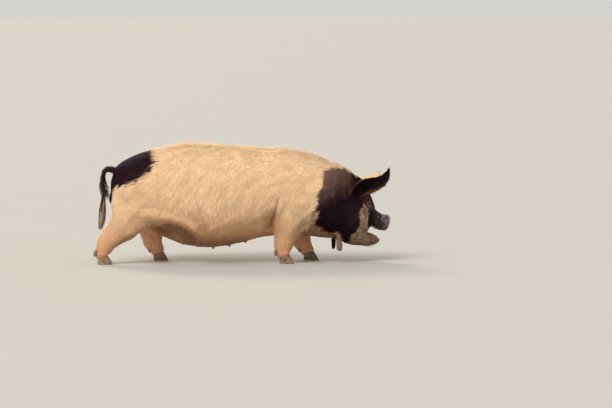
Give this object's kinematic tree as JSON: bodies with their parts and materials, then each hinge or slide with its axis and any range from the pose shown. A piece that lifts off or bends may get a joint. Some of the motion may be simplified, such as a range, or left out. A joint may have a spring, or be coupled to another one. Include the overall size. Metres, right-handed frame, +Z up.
{
  "type": "domestic pig model",
  "caption": "Still life-size model of a stocky hairy sow with throat wattles, walking with her head low and her mouth open.",
  "frame": {"origin": "middle of the model's box at floor level, with the soles of the hooves at Z = 0", "axes": "+X towards the snout, +Y towards the pig's left side, +Z up"},
  "size_m": [1.4864, 0.436, 0.5948],
  "materials": {
    "pale_hide": "cream hide under short pale hair",
    "dark_hide": "black hide under short dark hair",
    "snout_skin": "bare slate-grey skin, slightly moist",
    "mouth_flesh": "wet red-brown flesh",
    "eye_gloss": "polished dark brown",
    "hoof_horn": "dull brown horn",
    "switch_hair": "coarse pale hair"
  },
  "bodies": {
    "root": {"head": "dark_hide", "snout": "snout_skin", "lower_jaw": "pale_hide", "tongue": "mouth_flesh", "ear_right": "dark_hide", "ear_left": "pale_hide", "eye_right": "eye_gloss", "eye_left": "eye_gloss", "neck": "dark_hide", "shoulders": "pale_hide", "barrel": "pale_hide", "rump": "pale_hide", "fore_leg_right": "pale_hide", "fore_leg_left": "pale_hide", "hind_leg_right": "pale_hide", "hind_leg_left": "pale_hide", "hoof_fore_right_inner": "hoof_horn", "hoof_fore_right_outer": "hoof_horn", "hoof_fore_left_inner": "hoof_horn", "hoof_fore_left_outer": "hoof_horn", "hoof_hind_right_inner": "hoof_horn", "hoof_hind_right_outer": "hoof_horn", "hoof_hind_left_inner": "hoof_horn", "hoof_hind_left_outer": "hoof_horn", "dewclaw_fore_right_inner": "hoof_horn", "dewclaw_fore_right_outer": "hoof_horn", "dewclaw_fore_left_inner": "hoof_horn", "dewclaw_fore_left_outer": "hoof_horn", "dewclaw_hind_right_inner": "hoof_horn", "dewclaw_hind_right_outer": "hoof_horn", "dewclaw_hind_left_inner": "hoof_horn", "dewclaw_hind_left_outer": "hoof_horn", "tail": "dark_hide", "tail_switch": "switch_hair", "wattle_right": "snout_skin", "wattle_left": "dark_hide"}
  },
  "joints": []
}
